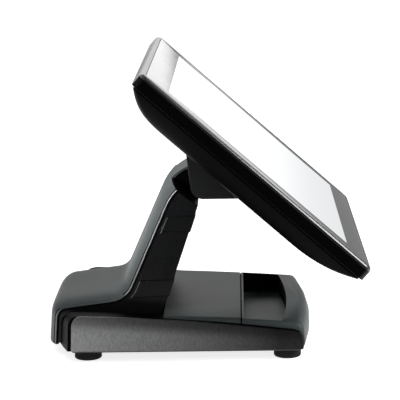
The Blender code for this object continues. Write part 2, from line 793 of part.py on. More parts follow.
def make_knuckle_cheek(side, name):
    """Black side of the knuckle, inside the end of the cowl, with a bore for the shaft."""
    outline = arc_points((AXIS_Y, AXIS_Z), CHEEK_R, 215, 95, 10)
    rear = cowl_line(KNUCKLE_HALF, COWL_WALL + COWL_PLAY)
    outline += [(p.x, p.y) for p in rear if p.y > CHEEK_LOW]
    outline += [(33 * MM, CHEEK_LOW), (7 * MM, CHEEK_LOW)]
    bore = arc_points((AXIS_Y, AXIS_Z), SHAFT_R + GAP, 0, 345, 23)
    low, high = sorted((side * CHEEK_IN, side * CHEEK_OUT))
    return black_plastic(plate_x(outline, low, high, [bore]), name, 0.5)


def make_spine_ties():
    """Round bars that hold the two spine plates apart."""
    half = 21.2 * MM
    for word, y, z in (("upper", 30, 132), ("middle", 48, 84), ("lower", 74, 24)):
        tie = cylinder(4 * MM, (-half, y * MM, z * MM), (half, y * MM, z * MM), 20)
        steel(tie, "spine_tie_" + word)


# ---------------------------------------------------------------- base

def panel_top(y):
    """Height of the base's top edge beside the deck: a long shallow arc."""
    run = max(119 * MM - y, 0.0)
    return 48.9 * MM - 0.04 * run - 0.21 * run * run


def deck_height(x, y):
    """Top of the deck: flat across, rolled off beside the rails."""
    run = max(40 * MM - y, 0.0)
    crest = 46.0 * MM - 0.0276 * run - 0.171 * run * run
    t = max((abs(x) - (DECK_HALF - ROLL_OFF)) / ROLL_OFF, 0.0)
    drop = crest - panel_top(y)
    return crest - drop * (1 - math.sqrt(max(1 - t * t, 0.0)))


def nose_y(x):
    return NOSE_Y + 9.5 * MM * (x / BASE_HALF) ** 2


def rear_y(x):
    """Y of the rear ends of the rails and shoulders."""
    return 159.8 * MM - x * x / (562 * MM)


def deck_stations(half):
    """X stations, close together over the rolled edges."""
    flat = half - ROLL_OFF
    edge = [flat + ROLL_OFF * math.sin(math.radians(a)) for a in (25, 45, 62, 76, 90)]
    positive = [flat * 0.5, flat, *edge]
    return [-x for x in reversed(positive)] + [0.0] + positive


def make_deck_cover():
    """Grey top of the base in front of the arm."""
    def section(x):
        ys = [DECK_BACK + (DECK_FRONT - DECK_BACK) * i / 6 for i in range(7)]
        top = [(y, deck_height(x, y)) for y in ys]
        under = [(y, deck_height(x, y) - DECK_WALL) for y in reversed(ys)]
        return top + under

    return grey_plastic(loft_x(section, deck_stations(DECK_HALF)), "deck_cover")


def pocket_outline():
    """Plan of the tray's recess: straight back and bowed front."""
    points = []
    bow = 7 * MM
    for i in range(-8, 9):
        x = POCKET_HALF * i / 8
        points.append((x, POCKET_FRONT + bow * (i / 8) ** 2))
    points += [(POCKET_HALF, POCKET_BACK), (-POCKET_HALF, POCKET_BACK)]
    return points


def prism_z(outline, z_low, z_high):
    return loft([[(x, y, z) for x, y in outline] for z in (z_low, z_high)])


def make_front_tray():
    """Recessed tray and the rounded nose in front of it, hollowed from below."""
    back = DECK_FRONT - DECK_JOINT

    def section(x):
        front = nose_y(x)
        shelf = front + 10 * MM
        ys = [back + (shelf - back) * i / 5 for i in range(6)]
        top = [(y, deck_height(x, y)) for y in ys]
        rim_z = top[-1][1]
        drop = rim_z - BASE_BOTTOM
        curve = []
        for angle in (20, 38, 54, 68, 80, 90):
            a = math.radians(angle)
            curve.append((shelf - 10 * MM * math.sin(a), rim_z - drop * 0.62 * (1 - math.cos(a))))
        foot = [(front + 0.4 * MM, BASE_BOTTOM + 3 * MM), (front + 2.5 * MM, BASE_BOTTOM)]
        return top + curve + foot + [(back, BASE_BOTTOM)]

    tray = loft_x(section, deck_stations(DECK_HALF))
    pocket = prism_z(pocket_outline(), POCKET_FLOOR, 80 * MM)
    under = box((-POCKET_HALF, -84 * MM, 5 * MM), (POCKET_HALF, POCKET_BACK, POCKET_FLOOR - 2.6 * MM))
    in_nose = box((-88 * MM, -98 * MM, 5 * MM), (88 * MM, -91 * MM, 30 * MM))
    cut(tray, pocket, under, in_nose)
    return grey_plastic(tray, "front_tray")


def rear_end(rear, extra_top):
    """Rounded rear end of a rail, from the bottom up."""
    start = rear - END_RUN
    low = panel_top(start) + extra_top - END_RISE
    points = [(rear, BASE_BOTTOM)]
    for angle in (0, 18, 36, 54, 72):
        a = math.radians(angle)
        points.append((start + (END_RUN - 1 * MM) * math.cos(a), low + END_RISE * math.sin(a)))
    return points


def rail_profile(extra_top, rear, front):
    """Side view of a base rail or side panel: rear end, top edge, rounded nose."""
    start = rear - END_RUN
    run = start - front - 10 * MM
    ys = [start - run * i / 7 for i in range(8)]
    top = [(y, panel_top(y) + extra_top) for y in ys]
    nose_z = top[-1][1]
    nose = [
        (front + 4.5 * MM, nose_z - 2.2 * MM),
        (front + 1.6 * MM, nose_z - 7.5 * MM),
        (front, BASE_BOTTOM + 3 * MM),
        (front + 0.8 * MM, BASE_BOTTOM),
    ]
    return rear_end(rear, extra_top) + top + nose


def make_base_rail(side, name):
    """Black rail along the deck's edge, and behind the deck a shoulder with a channel in it."""
    lip = 0.4 * MM                 # the rail stands this much above the side panel
    start = DECK_BACK + GAP

    def rail_section(x):
        return rail_profile(lip, rear_y(x), nose_y(x) + 0.8 * MM)

    def shoulder_section(x):
        rear = rear_y(x)
        extra = lip if abs(x) > CHANNEL_OUT - 1 * MM else -CHANNEL_DEEP
        run = rear - END_RUN - start
        ys = [start + run * i / 4 for i in range(5)]
        top = [(y, panel_top(y) + extra) for y in ys]
        return top + list(reversed(rear_end(rear, extra))) + [(start, BASE_BOTTOM)]

    rail = loft_x(rail_section, sorted(side * x for x in (RAIL_IN, RAIL_OUT)))
    stations = (ARM_HALF + 0.8 * MM, CHANNEL_OUT - 2 * MM, CHANNEL_OUT, RAIL_IN + 1 * MM)
    join_solids(rail, loft_x(shoulder_section, sorted(side * x for x in stations)))
    low, high = sorted((side * (ARM_HALF + 4 * MM), side * (RAIL_IN - 0.5 * MM)))
    cut(rail, box((low, DECK_BACK + 4 * MM, 5 * MM), (high, 130 * MM, 36 * MM)))
    return black_plastic(rail, name)


def make_side_panel(side, name):
    """Brushed panel on the outside of the base."""
    outline = rail_profile(0.0, 136 * MM, -101.3 * MM)
    low, high = sorted((side * (RAIL_OUT + GAP), side * BASE_HALF))
    panel = plate_x(outline, low, high)
    add_bevel(panel, 0.6 * MM, 2, 50.0)
    return finish_object(panel, name, BRUSHED, 0.4, 0.8)


def base_outline(half, inset):
    """Plan of the base: bowed front and rear, straight sides."""
    stations = [half * i / 6 for i in range(-6, 7)]
    front = [(x, nose_y(x) + inset) for x in stations]
    rear = [(x, rear_y(x) - inset) for x in reversed(stations)]
    return front + rear


def make_base_plate():
    plate = prism_z(base_outline(RAIL_IN, 6 * MM), PLATE_BOTTOM, PLATE_TOP)
    return finish_object(plate, "base_plate", BLACK, 0.5, 0.3)


def make_ballast_plate():
    plate = box((-68 * MM, -32 * MM, BASE_BOTTOM), (68 * MM, 38 * MM, 20 * MM), 1.0 * MM)
    return finish_object(plate, "ballast_plate", BALLAST_GREY, 0.55, 0.6)


def make_rubber_foot(x, y, name):
    """Turned foot with a rounded lower edge and a recess for its screw."""
    top = PLATE_BOTTOM - GAP
    section = [
        (FOOT_HOLE_R, top),
        (FOOT_R - 0.6 * MM, top),
        (FOOT_R, top - 0.9 * MM),
        (FOOT_R, 1.6 * MM),
        (FOOT_R - 0.5 * MM, 0.5 * MM),
        (FOOT_R - 1.6 * MM, 0.0),
        (FOOT_HOLE_R, 0.0),
    ]
    turns = [2 * math.pi * i / 32 for i in range(32)]
    rings = []
    for radius, z in section:
        rings.append([(x + radius * math.cos(t), y + radius * math.sin(t), z) for t in turns])
    foot = smooth(loft(rings, looped=True))
    return finish_object(foot, name, RUBBER, 0.75)


def make_foot_screw(x, y, name):
    head = cylinder(3.6 * MM, (x, y, 5 * MM), (x, y, PLATE_BOTTOM - GAP), 16)
    return steel(head, name)


clear_scene()
PARTS = new_collection("touchscreen_terminal")
CUTTERS = new_collection("cutters")

TILT = bpy.data.objects.new("tilt_axis", None)
bpy.context.scene.collection.objects.link(TILT)
TILT.location = (0.0, AXIS_Y, AXIS_Z)
TILT.rotation_euler = (math.radians(TILT_DEG), 0.0, 0.0)

make_front_bezel()
make_touch_glass()
make_lcd_panel()
make_display_chassis()
make_rear_cover()
make_main_board()
make_heat_sink()
make_storage_drive()
make_speaker()
make_io_panel()
make_connectors()
make_hinge_cover()
make_power_button()
make_switch_board()
make_rear_cover_screws()
make_hinge_shaft()
make_rear_cowl()
make_arm_front_cover()
make_arm_band("arm_band_upper", (44.0, 129.3), (37.5, 143.4), 128.0 * MM, 144.2 * MM)
make_arm_band("arm_band_lower", (74.2, 59.2), (65.5, 77.2), 61.0 * MM, 77.6 * MM)
make_spine_ties()
for word, side in (("left", -1), ("right", 1)):
    make_tilt_bracket(side, "tilt_bracket_" + word)
    make_washers_and_nuts(side, word)
    make_arm_side(side, "arm_side_" + word)
    make_spine_plate(side, "spine_plate_" + word)
    make_knuckle_cheek(side, "knuckle_cheek_" + word)
    make_base_rail(side, "base_rail_" + word)
    make_side_panel(side, "side_panel_" + word)
    for place, foot_y in (("front_", FOOT_FRONT_Y), ("rear_", FOOT_BACK_Y)):
        make_rubber_foot(side * FOOT_X, foot_y, "foot_" + place + word)
        make_foot_screw(side * FOOT_X, foot_y, "foot_screw_" + place + word)
make_deck_cover()
make_front_tray()
make_base_plate()
make_ballast_plate()
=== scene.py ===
import json
import math

import bmesh
import bpy
from mathutils import Matrix, Vector


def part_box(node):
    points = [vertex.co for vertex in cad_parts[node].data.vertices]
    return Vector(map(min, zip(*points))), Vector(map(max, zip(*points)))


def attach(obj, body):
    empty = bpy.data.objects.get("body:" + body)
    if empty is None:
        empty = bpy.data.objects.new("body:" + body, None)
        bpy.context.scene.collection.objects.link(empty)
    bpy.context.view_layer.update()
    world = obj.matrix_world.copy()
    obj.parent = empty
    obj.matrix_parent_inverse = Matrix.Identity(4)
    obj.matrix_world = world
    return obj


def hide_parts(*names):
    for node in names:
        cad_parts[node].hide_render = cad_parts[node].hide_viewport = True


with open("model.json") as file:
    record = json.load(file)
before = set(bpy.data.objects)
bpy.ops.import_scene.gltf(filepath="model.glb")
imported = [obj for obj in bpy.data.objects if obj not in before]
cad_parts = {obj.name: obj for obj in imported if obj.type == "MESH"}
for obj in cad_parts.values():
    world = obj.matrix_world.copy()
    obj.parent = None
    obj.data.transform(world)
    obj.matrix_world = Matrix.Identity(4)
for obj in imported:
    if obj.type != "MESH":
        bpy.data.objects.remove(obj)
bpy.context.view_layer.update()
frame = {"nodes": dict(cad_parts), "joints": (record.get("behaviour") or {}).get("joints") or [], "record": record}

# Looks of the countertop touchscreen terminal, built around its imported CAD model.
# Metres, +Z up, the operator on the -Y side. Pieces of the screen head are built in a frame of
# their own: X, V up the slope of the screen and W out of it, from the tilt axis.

MM = 0.001

# ---------------------------------------------------------------- the frame's own facts

RECORD = frame["record"]
JOINTS = {joint["name"]: joint for joint in frame["joints"]}
BODY_OF = {node: body for body, nodes in RECORD["behaviour"]["bodies"].items() for node in nodes}
SLOT_OF = {entry["node"]: entry["material_slot"] for entry in RECORD["subparts"]}

TILT_AT = Vector(JOINTS["head_tilt"]["pos_m"])
UP_SLOPE = Vector(JOINTS["power_button_press"]["axis"]).normalized()
OUT_OF_SCREEN = Vector((1, 0, 0)).cross(UP_SLOPE)
HEAD = Matrix.Translation(TILT_AT) @ Matrix(((1, 0, 0), UP_SLOPE, OUT_OF_SCREEN)).transposed().to_4x4()


# ---------------------------------------------------------------- camera, floor and light

BLACK = (0.0, 0.0, 0.0, 1.0)
WHITE = (1.0, 1.0, 1.0, 1.0)
WORLD_STRENGTH = 0.36
FLOOR_SIZE = 24.0
FLOOR_GLOW = 0.78
CAMERA_AT = (-1770.0 * MM, -37.3 * MM, 497.6 * MM)
CAMERA_YAW = 1.342                 # degrees from +X towards +Y
CAMERA_PITCH = 11.229              # degrees downwards
CAMERA_ROLL = -1.031               # degrees
CAMERA_LENS = 152.72               # mm on a 36 mm sensor


def make_camera():
    yaw = math.radians(CAMERA_YAW)
    pitch = math.radians(CAMERA_PITCH)
    roll = math.radians(CAMERA_ROLL)
    ahead = Vector((math.cos(pitch) * math.cos(yaw), math.cos(pitch) * math.sin(yaw), -math.sin(pitch)))
    level = Vector((math.sin(yaw), -math.cos(yaw), 0.0))
    upright = level.cross(ahead)
    right = level * math.cos(roll) + upright * math.sin(roll)
    up = right.cross(ahead)
    camera = bpy.data.objects.new("camera", bpy.data.cameras.new("camera"))
    bpy.context.scene.collection.objects.link(camera)
    turn = Matrix((right, up, -ahead)).transposed().to_4x4()
    camera.matrix_world = Matrix.Translation(CAMERA_AT) @ turn
    camera.data.sensor_width = 36.0
    camera.data.lens = CAMERA_LENS
    camera.data.clip_start = 0.01
    bpy.context.scene.camera = camera


def area_light(name, place, target, size, power, spread_deg=180.0):
    """Lamp of this width and height in metres and this power in watts, aimed at its target."""
    lamp = bpy.data.lights.new(name, "AREA")
    lamp.energy = power
    lamp.shape = "RECTANGLE"
    lamp.size, lamp.size_y = size
    lamp.spread = math.radians(spread_deg)
    obj = bpy.data.objects.new(name, lamp)
    bpy.context.scene.collection.objects.link(obj)
    obj.location = place
    obj.rotation_euler = (Vector(target) - Vector(place)).to_track_quat("-Z", "Y").to_euler()
    obj.visible_camera = False


def flat_sheet(name, size):
    """Square plane of this many metres, part of the stage, with a black material of its own."""
    bpy.ops.mesh.primitive_plane_add(size=size)
    sheet = bpy.context.active_object
    sheet.name = name
    material, shader, nodes, links = new_material(name)
    shader.inputs["Base Color"].default_value = BLACK
    shader.inputs["Specular IOR Level"].default_value = 0.0
    sheet.data.materials.append(material)
    return sheet, shader, nodes, links


def reflections_only(card):
    card.visible_camera = False
    card.visible_diffuse = False
    card.visible_shadow = False
    card.visible_transmission = False


def black_card(name, place, size, facing):
    """Card that keeps the reflections on its side dark."""
    card = flat_sheet(name, 1.0)[0]
    card.scale = (size[0], size[1], 1.0)
    card.location = place
    card.rotation_euler = Vector(facing).to_track_quat("Z", "Y").to_euler()
    reflections_only(card)


def grey_card(name, place, size, dark, light, start):
    """Upright card beyond the far side: dark up to the start, a share of its height, then lighter."""
    card, shader, nodes, links = flat_sheet(name, 1.0)
    card.data.transform(Matrix.Rotation(math.radians(90), 4, "Y"))
    card.scale = (1.0, size[0], size[1])
    card.location = place
    shader.inputs["Emission Color"].default_value = WHITE
    glow = map_range(nodes, links, coordinate(nodes, links, "Generated", "Z"), dark, light, start)
    links.new(glow, shader.inputs["Emission Strength"])
    reflections_only(card)


def make_world():
    """Soft white surroundings."""
    world = bpy.data.worlds.new("studio")
    bpy.context.scene.world = world
    world.use_nodes = True
    background = world.node_tree.nodes["Background"]
    background.inputs["Color"].default_value = WHITE
    background.inputs["Strength"].default_value = WORLD_STRENGTH


def make_floor():
    """Plain pale floor that glows a little, so that it stays white under the part."""
    shader, nodes, links = flat_sheet("floor", FLOOR_SIZE)[1:]
    shader.inputs["Base Color"].default_value = (0.8, 0.8, 0.8, 1.0)
    shader.inputs["Emission Color"].default_value = WHITE
    shader.inputs["Emission Strength"].default_value = FLOOR_GLOW
    cloud = nodes.new("ShaderNodeTexNoise")
    cloud.inputs["Scale"].default_value = 40.0
    links.new(map_range(nodes, links, cloud.outputs["Fac"], 0.8, 0.95), shader.inputs["Roughness"])


# ---------------------------------------------------------------- materials

def new_material(name):
    material = bpy.data.materials.new(name)
    material.use_nodes = True
    nodes = material.node_tree.nodes
    return material, nodes["Principled BSDF"], nodes, material.node_tree.links


def map_range(nodes, links, source, low, high, from_low=0.0, from_high=1.0):
    """The source's value, moved from one range to another and held within it."""
    step = nodes.new("ShaderNodeMapRange")
    step.inputs["From Min"].default_value = from_low
    step.inputs["From Max"].default_value = from_high
    step.inputs["To Min"].default_value = low
    step.inputs["To Max"].default_value = high
    links.new(source, step.inputs["Value"])
    return step.outputs["Result"]


def coordinate(nodes, links, space, axis):
    """One coordinate of the point in this space, along this axis."""
    place = nodes.new("ShaderNodeTexCoord")
    apart = nodes.new("ShaderNodeSeparateXYZ")
    links.new(place.outputs[space], apart.inputs["Vector"])
    return apart.outputs[axis]


def noise(nodes, links, scale, detail, stretch=(1.0, 1.0, 1.0)):
    """Noise in the object's own coordinates, which are the frame's metres."""
    place = nodes.new("ShaderNodeTexCoord")
    mapping = nodes.new("ShaderNodeMapping")
    mapping.inputs["Scale"].default_value = stretch
    links.new(place.outputs["Object"], mapping.inputs["Vector"])
    texture = nodes.new("ShaderNodeTexNoise")
    texture.inputs["Scale"].default_value = scale
    texture.inputs["Detail"].default_value = detail
    links.new(mapping.outputs["Vector"], texture.inputs["Vector"])
    return texture.outputs["Fac"]


def add_bump(nodes, links, shader, height, depth):
    """Relief of this depth in metres."""
    bump = nodes.new("ShaderNodeBump")
    bump.inputs["Strength"].default_value = 1.0
    bump.inputs["Distance"].default_value = depth
    links.new(height, bump.inputs["Height"])
    links.new(bump.outputs["Normal"], shader.inputs["Normal"])


def mix_colour(nodes, links, factor, first, second):
    mix = nodes.new("ShaderNodeMix")
    mix.data_type = "RGBA"
    links.new(factor, mix.inputs["Factor"])
    mix.inputs[6].default_value = (*first, 1.0)
    mix.inputs[7].default_value = (*second, 1.0)
    return mix.outputs[2]


def edge_wear(nodes, links):
    """1 on rubbed edges, 0 elsewhere, broken up by noise."""
    geometry = nodes.new("ShaderNodeNewGeometry")
    rounded = nodes.new("ShaderNodeBevel")
    rounded.samples = 4
    rounded.inputs["Radius"].default_value = 0.8 * MM
    likeness = nodes.new("ShaderNodeVectorMath")
    likeness.operation = "DOT_PRODUCT"
    links.new(geometry.outputs["Normal"], likeness.inputs[0])
    links.new(rounded.outputs["Normal"], likeness.inputs[1])
    edge = map_range(nodes, links, likeness.outputs["Value"], 0.0, 1.0, 0.998, 0.93)
    patches = map_range(nodes, links, noise(nodes, links, 60.0, 3.0), 0.3, 1.0, 0.35, 0.65)
    both = nodes.new("ShaderNodeMath")
    both.operation = "MULTIPLY"
    links.new(edge, both.inputs[0])
    links.new(patches, both.inputs[1])
    return both.outputs["Value"]


def moulded(name, colour, worn, roughness, grain=0.02 * MM, specular=0.5, grain_scale=1400.0, rubbed=True):
    """Moulded plastic: fine spark grain, cloudy gloss, edges polished by handling where it is rubbed."""
    material, shader, nodes, links = new_material(name)
    if rubbed:
        share = edge_wear(nodes, links)
    else:
        share = map_range(nodes, links, noise(nodes, links, 15.0, 4.0), 0.0, 0.3)
    links.new(mix_colour(nodes, links, share, colour, worn), shader.inputs["Base Color"])
    cloud = noise(nodes, links, 22.0, 4.0)
    spread = 0.012
    links.new(map_range(nodes, links, cloud, roughness - spread, roughness + spread, 0.3, 0.7),
              shader.inputs["Roughness"])
    shader.inputs["Specular IOR Level"].default_value = specular
    add_bump(nodes, links, shader, noise(nodes, links, grain_scale, 2.0), grain)
    return material


def brushed(name, dark, light, roughness, stretch):
    """Brushed metal: long fine lines along the axis with the smallest stretch."""
    material, shader, nodes, links = new_material(name)
    lines = noise(nodes, links, 1.0, 3.0, stretch)
    links.new(mix_colour(nodes, links, map_range(nodes, links, lines, 0.0, 1.0, 0.3, 0.7), dark, light),
              shader.inputs["Base Color"])
    links.new(map_range(nodes, links, lines, roughness + 0.1, roughness - 0.08, 0.3, 0.7),
              shader.inputs["Roughness"])
    shader.inputs["Metallic"].default_value = 1.0
    add_bump(nodes, links, shader, lines, METAL_RELIEF)
    return material


# name: colour, colour where rubbed or cloudy, roughness, then what differs from plain moulded plastic
PLASTICS = {
    "bezel_black": ((0.0012, 0.0012, 0.0016), (0.003, 0.003, 0.0035), 0.25,
                    {"grain": 0.004 * MM, "specular": 0.2, "rubbed": False}),
    "bezel_edge": ((0.004, 0.004, 0.0045), (0.008, 0.008, 0.009), 0.3,
                   {"grain": 0.003 * MM, "specular": 0.9, "rubbed": False}),
    "cover_black": ((0.0012, 0.0012, 0.0015), (0.003, 0.003, 0.0033), 0.42,
                    {"grain": 0.01 * MM, "specular": 0.02, "rubbed": False}),
    "arm_black": ((0.0042, 0.0044, 0.0048), (0.006, 0.0062, 0.0066), 0.28,
                  {"grain": 0.006 * MM, "specular": 0.17, "rubbed": False}),
    "shell_grey": ((0.0405, 0.0485, 0.049), (0.087, 0.096, 0.098), 0.46, {"specular": 0.2}),
    # black for dark joints, and painted shade on recess walls and in gaps
    "joint_black_and_painted_shade": ((0.0015, 0.0015, 0.0017), (0.003, 0.003, 0.003), 0.6,
                     {"grain": 0.01 * MM, "specular": 0.02}),
    "screw_steel": ((0.03, 0.03, 0.032), (0.25, 0.25, 0.26), 0.35, {"grain": 0.01 * MM, "specular": 0.6}),
    "board": ((0.012, 0.07, 0.03), (0.05, 0.16, 0.07), 0.4, {"grain": 0.01 * MM, "specular": 0.4}),
    "inlet": ((0.01, 0.01, 0.01), (0.03, 0.03, 0.03), 0.4, {}),
    "base_plate": ((0.015, 0.015, 0.016), (0.1, 0.1, 0.1), 0.45, {"grain": 0.04 * MM}),
    "ballast": ((0.05, 0.05, 0.052), (0.12, 0.12, 0.12), 0.6,
                {"grain": 0.2 * MM, "specular": 0.4, "grain_scale": 300.0}),
    "rubber": ((0.013, 0.013, 0.0135), (0.02, 0.02, 0.02), 0.7, {"grain": 0.03 * MM, "specular": 0.1}),
    "button": ((0.12, 0.122, 0.126), (0.25, 0.25, 0.26), 0.32, {"grain": 0.008 * MM}),
    # lighter grey that paints the highlight along the cowl's rim and the arm's rear edge
    "painted_rim_highlight": ((0.12, 0.123, 0.126), (0.16, 0.163, 0.166), 0.3, {"grain": 0.004 * MM}),
    "hinge_black": ((0.0055, 0.006, 0.0058), (0.009, 0.0095, 0.009), 0.4,
                    {"grain": 0.01 * MM, "specular": 0.12, "rubbed": False}),
    "socket_plastic": ((0.01, 0.03, 0.12), (0.03, 0.06, 0.2), 0.4, {"grain": 0.01 * MM, "specular": 0.4}),
    "lcd": ((0.7, 0.7, 0.71), (0.7, 0.7, 0.71), 0.4, {}),
}
# name: dark and light colour of the lines, roughness, stretch of their noise
METALS = {
    "steel": ((0.4, 0.41, 0.43), (0.62, 0.63, 0.64), 0.38, (900.0, 60.0, 900.0)),
    "shaft_steel": ((0.45, 0.46, 0.48), (0.66, 0.67, 0.68), 0.25, (2500.0, 100.0, 100.0)),
    "heat_sink": ((0.5, 0.51, 0.52), (0.7, 0.71, 0.72), 0.4, (900.0, 40.0, 900.0)),
    "connector": ((0.5, 0.5, 0.5), (0.7, 0.7, 0.7), 0.3, (60.0, 900.0, 900.0)),
    "gold": ((0.62, 0.42, 0.14), (0.75, 0.55, 0.22), 0.3, (900.0, 900.0, 60.0)),
}
METAL_RELIEF = 0.01 * MM


def make_materials():
    """Every material but the touch glass's own two, by slot or name."""
    made = {name: moulded(name, colour, worn, roughness, **others)
            for name, (colour, worn, roughness, others) in PLASTICS.items()}
    made.update({name: brushed(name, *looks) for name, looks in METALS.items()})
    made["panel_brushed"] = make_panel_metal()
    made["drive"] = made["heat_sink"]
    return made


def make_panel_metal():
    """Anodised aluminium with upright hairlines; its colour darkens from the rear to the front, a painted
    reflection falloff.
    """
    material, shader, nodes, links = new_material("panel_brushed")
    hair = noise(nodes, links, 1.0, 5.0, (300.0, 2600.0, 260.0))
    soft = noise(nodes, links, 1.0, 4.0, (200.0, 1000.0, 300.0))
    lines = nodes.new("ShaderNodeMath")
    lines.operation = "ADD"
    links.new(map_range(nodes, links, hair, 0.0, 0.6, 0.25, 0.75), lines.inputs[0])
    links.new(map_range(nodes, links, soft, 0.0, 0.4, 0.3, 0.7), lines.inputs[1])
    low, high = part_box("side_panel_left")
    # painted reflection: the colour is scaled up towards the rear of the panel and down towards the front
    painted_reflection_falloff = map_range(nodes, links, coordinate(nodes, links, "Object", "Y"), 0.14, 1.5,
                         low.y + 25 * MM, high.y)
    grain = mix_colour(nodes, links, lines.outputs["Value"], (0.08, 0.081, 0.083), (0.17, 0.171, 0.172))
    grain_with_painted_falloff = nodes.new("ShaderNodeVectorMath")
    grain_with_painted_falloff.operation = "SCALE"
    links.new(grain, grain_with_painted_falloff.inputs[0])
    links.new(painted_reflection_falloff, grain_with_painted_falloff.inputs["Scale"])
    links.new(grain_with_painted_falloff.outputs["Vector"], shader.inputs["Base Color"])
    links.new(map_range(nodes, links, lines.outputs["Value"], 0.5, 0.34), shader.inputs["Roughness"])
    shader.inputs["Metallic"].default_value = 1.0
    add_bump(nodes, links, shader, lines.outputs["Value"], METAL_RELIEF)
    return material


def glassy(name):
    """Material with the touch glass's faintly cloudy polish, and its cloud."""
    material, shader, nodes, links = new_material(name)
    cloud = noise(nodes, links, 30.0, 3.0)
    links.new(map_range(nodes, links, cloud, 0.06, 0.12), shader.inputs["Roughness"])
    return material, shader, nodes, links, cloud


def make_glass_border():
    """Black print under polished glass."""
    material, shader, nodes, links, cloud = glassy("touch_glass")
    links.new(mix_colour(nodes, links, cloud, (0.004, 0.004, 0.005), (0.006, 0.006, 0.007)),
              shader.inputs["Base Color"])
    return material


def make_picture():
    """Lit blank picture, a little weaker towards the lower edge; the weakening is a painted reflection falloff."""
    material, shader, nodes, links = glassy("lit_picture")[:4]
    shader.inputs["Base Color"].default_value = (0.02, 0.02, 0.02, 1.0)
    low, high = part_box("touch_glass")
    # painted reflection: the glow grows from the lower edge of the glass to the top
    glow = map_range(nodes, links, coordinate(nodes, links, "Object", "Z"), 0.6, 0.88, low.z, high.z)
    shader.inputs["Emission Color"].default_value = (0.97, 0.985, 1.0, 1.0)
    links.new(glow, shader.inputs["Emission Strength"])
    return material


# ---------------------------------------------------------------- mesh helpers

def link_mesh(bm, name):
    mesh = bpy.data.meshes.new(name)
    bm.to_mesh(mesh)
    bm.free()
    obj = bpy.data.objects.new(name, mesh)
    bpy.context.scene.collection.objects.link(obj)
    return obj


def smooth(obj, angle_deg=30.0):
    obj.data.shade_smooth()
    obj.data.set_sharp_from_angle(angle=math.radians(angle_deg))
    return obj


def add_bevel(obj, width, segments=3, angle_deg=30.0):
    bevel = obj.modifiers.new("edges", "BEVEL")
    bevel.width = width
    bevel.segments = segments
    bevel.limit_method = "ANGLE"
    bevel.angle_limit = math.radians(angle_deg)
    bevel.harden_normals = True
    return obj


def settle(obj, node):
    """Give a piece its body and, if it has none, the material of its CAD node's slot; hide the CAD node that it
    stands for.
    """
    slot = SLOT_OF[node]
    if not obj.data.materials:
        obj.data.materials.append(MATERIALS["hinge_black" if node == "hinge_cover" else slot])
    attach(obj, BODY_OF[node])
    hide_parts(node)
    return obj


def extra(obj, body, material):
    """Give a visible piece that no CAD node stands behind its body and material."""
    obj.data.materials.append(MATERIALS[material])
    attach(obj, body)


def refined(node, width):
    """The CAD solid with welded faces, edges rounded to this width and smooth curved faces."""
    bm = bmesh.new()
    bm.from_mesh(frame["nodes"][node].data)
    bmesh.ops.remove_doubles(bm, verts=bm.verts, dist=0.00001)
    bmesh.ops.dissolve_limit(bm, angle_limit=math.radians(0.5), verts=bm.verts, edges=bm.edges)
    return settle(add_bevel(smooth(link_mesh(bm, node + "_piece")), width), node)


def apply_modifiers(obj):
    """Turn the piece's modifiers into plain mesh."""
    graph = bpy.context.evaluated_depsgraph_get()
    mesh = bpy.data.meshes.new_from_object(obj.evaluated_get(graph))
    obj.modifiers.clear()
    obj.data = mesh
    return obj


def cut_away(obj, *cutters):
    """Cut solids out of a piece; the cutters are removed."""
    for cutter in cutters:
        step = obj.modifiers.new("cut", "BOOLEAN")
        step.object = cutter
    apply_modifiers(obj)
    for cutter in cutters:
        bpy.data.objects.remove(cutter, do_unlink=True)
    return obj


def bridge(bm, here, there):
    """Faces between two rings of corners."""
    for j in range(len(here)):
        k = (j + 1) % len(here)
        bm.faces.new((here[j], here[k], there[k], there[j]))


def add_prism(bm, low, high):
    """Solid between two outlines of equal length."""
    ends = [[bm.verts.new(point) for point in outline] for outline in (low, high)]
    for end in ends:
        bm.faces.new(end)
    bridge(bm, *ends)


def loft(rings, name, looped=False):
    """Solid skin over rings of equal length, capped at its ends or looped into a frame."""
    bm = bmesh.new()
    rows = [[bm.verts.new(point) for point in ring] for ring in rings]
    for i in range(len(rows) if looped else len(rows) - 1):
        bridge(bm, rows[i], rows[(i + 1) % len(rows)])
    if not looped:
        bm.faces.new(rows[0])
        bm.faces.new(rows[-1])
    bmesh.ops.recalc_face_normals(bm, faces=bm.faces)
    return link_mesh(bm, name)


def boxes(name, corners, matrix=Matrix.Identity(4)):
    """One mesh of separate boxes, each between a low and a high corner."""
    bm = bmesh.new()
    for low, high in corners:
        size = [high[i] - low[i] for i in range(3)]
        middle = [(high[i] + low[i]) / 2 for i in range(3)]
        place = Matrix.Translation(middle) @ Matrix.Diagonal((*size, 1.0))
        bmesh.ops.create_cube(bm, size=1.0, matrix=place)
    bmesh.ops.transform(bm, matrix=matrix, verts=bm.verts)
    return link_mesh(bm, name)


def rod(name, radius, low, high, matrix, sides):
    """Round bar along Z of the given frame, from the point low up to the height high."""
    bm = bmesh.new()
    middle = Matrix.Translation((low[0], low[1], (low[2] + high) / 2))
    bmesh.ops.create_cone(bm, cap_ends=True, segments=sides, radius1=radius, radius2=radius,
                          depth=high - low[2], matrix=matrix @ middle)
    return link_mesh(bm, name)


def turned(section, centre, name, sides=72):
    """Solid of revolution about a vertical line; the section is a closed loop of radius, Z."""
    turns = [2 * math.pi * i / sides for i in range(sides)]
    rings = [[(centre[0] + r * math.cos(t), centre[1] + r * math.sin(t), z) for t in turns]
             for r, z in section]
    return loft(rings, name, looped=True)


# ---------------------------------------------------------------- outlines

